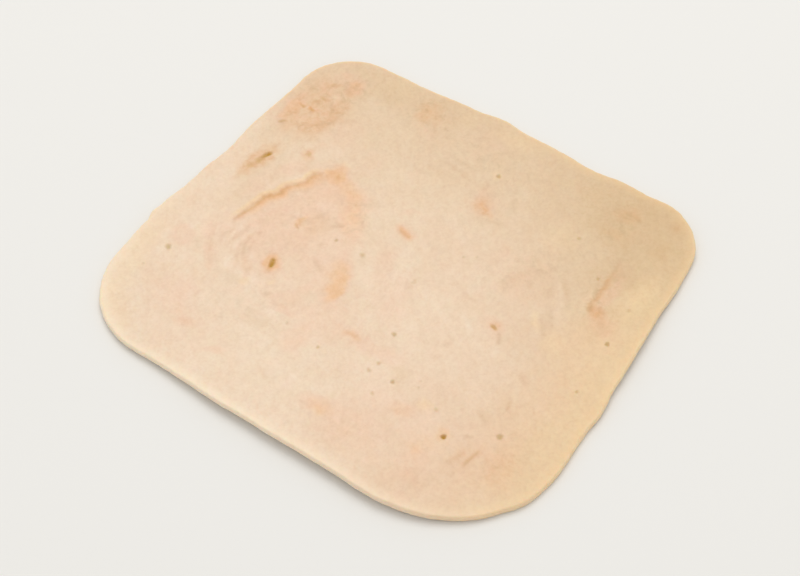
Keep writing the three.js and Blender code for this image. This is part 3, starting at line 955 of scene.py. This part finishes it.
def pit_masks(x, y):
    """How brown the pits are, partly painted shade, and how much painted shade greys them, at each point.
    """
    brown = np.zeros_like(x)
    grey = np.zeros_like(x)
    for pit in PITS:
        depth = 1 - smooth((pit_radius(x, y, pit) - PIT_CORE) / PIT_FADE)
        # A pit's brown is partly painted shade.
        brown = np.maximum(brown, pit.brown * depth)
        grey = np.maximum(grey, pit.grey * depth)
    return brown, grey


def masks(points):
    """What the meat's material reads at each point: shares from 0 to 1."""
    x, y, share, _ = points.T
    flat = np.stack([x, y], axis=-1)
    stray_x, stray_y = (STRAY[0] * ripple(flat, STRAY[1], seed) for seed in STRAY_SEEDS)
    area = (x + stray_x, y + stray_y)
    line = (x + LINE_STRAY * stray_x, y + LINE_STRAY * stray_y)
    seam_rust, seam_pink, seam_gold, seam_brown = seam_masks(x, y)
    pit_brown_and_shade, pit_painted_shade = pit_masks(x, y)
    pale_fibres = joined(strokes_mask(*line, PALE_STROKES), lines_mask(*line, PALE_LINES))
    return {
        "pink": joined(spots_mask(*area, PINK), joined(lines_mask(*line, PINK_LINES), seam_pink)),
        "rust": joined(spots_mask(*area, RUST), joined(lines_mask(*line, RUST_LINES), seam_rust)),
        "ochre_and_shade": spots_mask(*area, OCHRE_AND_SHADE),
        "gold": np.maximum(spots_mask(*area, GOLD), seam_gold),
        "pale": joined(spots_mask(*area, PALE), pale_fibres),
        "fibres": joined(strokes_mask(*line, STROKES), lines_mask(*line, LINES)),
        "flecks": spots_mask(*area, FLECKS),
        "brown": np.maximum(seam_brown, pit_brown_and_shade) * (share == 1),
        "grey": pit_painted_shade * (share == 1),
    }


def edge_masks(x, y):
    """How pale the meat is towards the edge, partly painted light, and how golden with painted glow."""
    around = np.arctan2(y, x)
    ring = edge(np.linspace(0, 1, RIM_SAMPLES, endpoint=False))
    angles = np.arctan2(ring[:, 1], ring[:, 0])
    order = np.argsort(angles)
    radius = np.interp(around, angles[order], np.hypot(*ring[order].T), period=2 * math.pi)
    depth = radius - np.hypot(x, y)
    towards = smooth(np.cos(around) * PAINTED_LIGHT_WAY[0] + np.sin(around) * PAINTED_LIGHT_WAY[1])
    line = RIM_LINE[1] * (RIM_LINE_LEAST + (1 - RIM_LINE_LEAST) * towards) * fade(depth / RIM_LINE[0])
    # Painted glow: golden light painted along the edge where light would come through it.
    painted_glow = np.zeros_like(x)
    for way_x, way_y, reach, strength in PAINTED_GLOW_BANDS:
        facing = smooth(PAINTED_GLOW_SPREAD * (np.cos(around) * way_x + np.sin(around) * way_y))
        painted_glow = np.maximum(painted_glow, strength * facing * fade(depth / reach))
    return {"rim": np.maximum(line, PAINTED_LIGHT_BAND[1] * towards * fade(depth / PAINTED_LIGHT_BAND[0])), "painted_glow": painted_glow}


def add_attributes(mesh, points):
    """Gives the mesh all that its material reads."""
    x, y = points[:, 0], points[:, 1]
    for name, value in (masks(points) | edge_masks(x, y)).items():
        attribute = mesh.attributes.new(name, "FLOAT", "POINT")
        attribute.data.foreach_set("value", value.astype(np.float32))
    fibre = mesh.attributes.new("fibre", "FLOAT_VECTOR", "POINT")
    fibre.data.foreach_set("vector", fibre_places(x, y).astype(np.float32).ravel())


def add_object(name, data):
    obj = bpy.data.objects.new(name, data)
    bpy.context.scene.collection.objects.link(obj)
    return obj


def make_slice():
    """The slice as one closed mesh, with its plan's middle over the middle of the frame's box."""
    points, faces = slice_plan()
    places = slice_places(points)
    low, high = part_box(NODE)
    own_middle = (places.min(axis=0) + places.max(axis=0)) / 2
    shift = np.array([(low.x + high.x) / 2, (low.y + high.y) / 2]) / MM - own_middle[:2]
    places[:, :2] += shift
    mesh = bpy.data.meshes.new("slice_of_meat")
    mesh.from_pydata((places * MM).tolist(), [], faces)
    mesh.shade_smooth()
    add_attributes(mesh, points)
    return add_object("slice_of_meat", mesh)


def colour(red, green, blue):
    """A colour as the screen shows it, from 0 to 255, as the linear value that a shader takes."""
    shares = [c / 255 for c in (red, green, blue)]
    return tuple(s / 12.92 if s <= 0.04045 else ((s + 0.055) / 1.055) ** 2.4 for s in shares) + (1.0,)


PALE_FLOOR = colour(238, 237, 234)
# Plain cream, which tints are measured against, and the ground outside and inside faint clouds.
CREAM = colour(242, 222, 198)
CLEAR_CREAM = colour(241, 219, 194)
CLOUDED_CREAM = colour(240, 216, 190)
FAINT_PINK = colour(239, 198, 171)
STRONG_PINK = colour(240, 195, 151)
RUSTY_FLESH = colour(228, 181, 133)
FLECK_VALLEY = colour(226, 203, 175)
FLECK_RIDGE = colour(246, 218, 196)
# Shades that the masks of these names bring in: under the pink, as fibres, and last over all. The ochre is
# partly painted shade.
GROUND = {"ochre_and_shade": colour(218, 188, 146), "gold": colour(245, 219, 174)}
FIBRES = {"pale": colour(249, 234, 215), "fibres": colour(221, 190, 156)}
FINISH = {
    # Painted glow along the edge.
    "painted_glow": colour(241, 209, 158),
    # The pale edge: partly the meat's own, partly painted light on the wall and the left side.
    "rim": colour(252, 236, 209),
    # Painted shade in the pits, a greyish olive.
    "grey": colour(200, 167, 112),
    # The brown of the pits and of the seam's core; in the pits it is partly painted shade.
    "brown": colour(190, 141, 42),
}

# Noise in the meat: waves per metre, detail, roughness and distortion.
NOISES = {
    "clouds": (120, 3, 0.5, 0),
    "patches": (330, 3, 0.6, 0.4),
    "blush": (210, 2, 0.5, 0.6),
    "curls": (460, 2, 0.55, 0.5),
    "worms": (700, 2, 0.5, 0.3),
    "grain": (1500, 2, 0.6, 0),
    "fine": (3000, 2, 0.5, 0),
}
# Noise that runs along the fibres: waves per millimetre across them, and detail.
STREAKS = (0.7, 3)
# Faint patterns over the stained ground: noise, where it sets in and is full, strength and colour.
TINTS = [
    ("patches", 0.3, 0.7, 0.38, colour(237, 216, 190)),
    ("blush", 0.4, 0.7, 0.1, colour(243, 214, 191)),
    ("worms", 0.4, 0.72, 0.26, colour(231, 205, 177)),
    ("worms", 0.46, 0.25, 0.22, colour(249, 230, 207)),
    ("grain", 0.35, 0.75, 0.3, colour(228, 200, 170)),
    ("streaks", 0.5, 0.7, 0.2, colour(234, 207, 180)),
]
# The values between which each of these sets in, and what it then goes from and to if not 0 and 1.
CLOUDING = (0.35, 0.65)
PINK_BROKEN = (0.3, 0.7, 0.9, 1.05)
RUST_MOTTLED = (0.35, 0.65, 0.85, 1.15)
PINK_STRENGTHENS = (0.3, 0.75)
VALLEYS = (0.48, 0.7)
RIDGES = (0.5, 0.3, 0, 0.6)
ROUGHNESS = (0.3, 0.7, 0.42, 0.54)
# Fine relief in the shading alone: strength, depth in millimetres, and its share of two noises.
BUMP_STRENGTH = 0.3
BUMP_DEPTH = 0.08
BUMP_WORMS = 0.6
BUMP_FINE = 0.4
# How far light scatters in the meat, in millimetres.
SCATTER_DEPTH = 1.2


class Shader:
    """A material's nodes, added by short calls."""

    def __init__(self, name):
        self.material = bpy.data.materials.new(name)
        self.material.use_nodes = True
        self.tree = self.material.node_tree
        self.tree.nodes.clear()

    def node(self, kind, sockets, **settings):
        made = self.tree.nodes.new(kind)
        for name, value in settings.items():
            setattr(made, name, value)
        for name, value in sockets.items():
            if isinstance(value, bpy.types.NodeSocket):
                self.tree.links.new(value, made.inputs[name])
            else:
                made.inputs[name].default_value = value
        return made

    def attribute(self, name, output="Fac"):
        return self.node("ShaderNodeAttribute", {}, attribute_name=name).outputs[output]

    def place(self):
        return self.node("ShaderNodeTexCoord", {}).outputs["Object"]

    def noise(self, vector, scale, detail, roughness=0.5, distortion=0.0):
        sockets = {"Vector": vector, "Scale": scale, "Detail": detail, "Roughness": roughness}
        return self.node("ShaderNodeTexNoise", sockets | {"Distortion": distortion}).outputs["Fac"]

    def remap(self, value, low, high, to_low=0.0, to_high=1.0):
        sockets = {"Value": value, "From Min": low, "From Max": high, "To Min": to_low, "To Max": to_high}
        return self.node("ShaderNodeMapRange", sockets, interpolation_type="SMOOTHSTEP").outputs["Result"]

    def math(self, operation, a, b, clamp=False):
        return self.node("ShaderNodeMath", {0: a, 1: b}, operation=operation, use_clamp=clamp).outputs[0]

    def mix(self, share, a, b):
        sockets = {"Factor": share, 6: a, 7: b}
        return self.node("ShaderNodeMix", sockets, data_type="RGBA").outputs[2]

    def tint(self, share, a, b):
        """Changes a as it would take to turn plain cream into b."""
        change = tuple(part / plain for part, plain in zip(b, CREAM))
        sockets = {"Factor": share, 6: a, 7: change}
        return self.node("ShaderNodeMix", sockets, data_type="RGBA", blend_type="MULTIPLY").outputs[2]

    def surface(self, sockets):
        """Ends the material in one surface."""
        made = self.node("ShaderNodeBsdfPrincipled", sockets)
        self.node("ShaderNodeOutputMaterial", {"Surface": made.outputs["BSDF"]})
        return self.material


def meat_noises(shader):
    place = shader.place()
    noises = {name: shader.noise(place, *settings) for name, settings in NOISES.items()}
    noises["streaks"] = shader.noise(shader.attribute("fibre", "Vector"), *STREAKS)
    return noises


def stained_hue(shader, noises):
    """The cream ground with its ochre places, partly painted shade, and its golden, pink and rusty places.
    """
    broken = shader.remap(noises["patches"], *PINK_BROKEN)
    mottled = shader.remap(noises["worms"], *RUST_MOTTLED)
    pink_share = shader.math("MULTIPLY", shader.attribute("pink"), broken, clamp=True)
    rust_share = shader.math("MULTIPLY", shader.attribute("rust"), mottled, clamp=True)
    pink = shader.mix(shader.remap(pink_share, *PINK_STRENGTHENS), FAINT_PINK, STRONG_PINK)
    hue = shader.mix(shader.remap(noises["clouds"], *CLOUDING), CLEAR_CREAM, CLOUDED_CREAM)
    for name, shade in GROUND.items():
        hue = shader.mix(shader.attribute(name), hue, shade)
    hue = shader.mix(pink_share, hue, pink)
    return shader.mix(rust_share, hue, RUSTY_FLESH)


def textured_hue(shader, hue, noises):
    """The ground with its fibres, its flecks and faint patterns all over."""
    for name, shade in FIBRES.items():
        hue = shader.tint(shader.attribute(name), hue, shade)
    for course, shade in ((VALLEYS, FLECK_VALLEY), (RIDGES, FLECK_RIDGE)):
        flecks = shader.math("MULTIPLY", shader.attribute("flecks"), shader.remap(noises["curls"], *course))
        hue = shader.tint(flecks, hue, shade)
    for name, low, high, strength, shade in TINTS:
        hue = shader.tint(shader.remap(noises[name], low, high, 0, strength), hue, shade)
    return hue


def finished_hue(shader, hue):
    """The meat's colour with its painted golden glow, its pale edge that is partly painted light, and its
    pits, brown partly by painted shade and greyed by painted shade.
    """
    for name, shade in FINISH.items():
        hue = shader.mix(shader.attribute(name), hue, shade)
    return hue


def meat_bump(shader, noises):
    worms = shader.math("MULTIPLY", noises["worms"], BUMP_WORMS)
    fine = shader.math("MULTIPLY", noises["fine"], BUMP_FINE)
    height = shader.math("ADD", worms, fine)
    sockets = {"Strength": BUMP_STRENGTH, "Distance": BUMP_DEPTH * MM, "Height": height}
    return shader.node("ShaderNodeBump", sockets).outputs["Normal"]


def meat_material():
    shader = Shader("cooked_turkey_meat")
    noises = meat_noises(shader)
    hue = textured_hue(shader, stained_hue(shader, noises), noises)
    return shader.surface({
        "Base Color": finished_hue(shader, hue),
        "Roughness": shader.remap(noises["clouds"], *ROUGHNESS),
        "IOR": 1.4,
        "Subsurface Weight": 0.35,
        "Subsurface Radius": (1.0, 0.5, 0.28),
        "Subsurface Scale": SCATTER_DEPTH * MM,
        "Coat Weight": 0.06,
        "Coat Roughness": 0.3,
        "Normal": meat_bump(shader, noises),
    })


def floor_material():
    return Shader("pale_floor").surface({"Base Color": PALE_FLOOR, "Roughness": 0.9})


def make_floor():
    rim = np.linspace(0, 2 * math.pi, FLOOR_SIDES, endpoint=False)
    places = [(FLOOR_RADIUS * math.cos(a), FLOOR_RADIUS * math.sin(a), 0) for a in rim]
    mesh = bpy.data.meshes.new("floor")
    mesh.from_pydata(places, [], [tuple(range(len(places)))])
    mesh.materials.append(floor_material())
    add_object("floor", mesh)


def aim(obj, place, target):
    """Sets a lamp or camera at a place, turned to its target."""
    obj.location = place
    obj.rotation_euler = (target - obj.location).to_track_quat("-Z", "Y").to_euler()


def make_world():
    world = bpy.data.worlds.new("studio")
    world.use_nodes = True
    background = world.node_tree.nodes["Background"]
    background.inputs["Color"].default_value = WORLD_COLOUR
    background.inputs["Strength"].default_value = WORLD_STRENGTH
    bpy.context.scene.world = world


def make_lamp():
    lamp = bpy.data.lights.new("softbox", "AREA")
    lamp.shape = "SQUARE"
    lamp.size = LAMP_SIZE
    lamp.energy = LAMP_POWER
    lamp.color = LAMP_COLOUR
    aim(add_object("softbox", lamp), Vector(LAMP_PLACE), Vector())


def make_camera():
    data = bpy.data.cameras.new("camera")
    data.lens = CAMERA_LENS
    camera = add_object("camera", data)
    aim(camera, Vector(CAMERA_PLACE) * MM, Vector(CAMERA_AIM) * MM)
    bpy.context.scene.camera = camera


make_camera()
make_world()
make_lamp()
make_floor()
bpy.context.scene.view_settings.view_transform = "Standard"

meat = make_slice()
meat.data.materials.append(meat_material())
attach(meat, "root")
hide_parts(NODE)
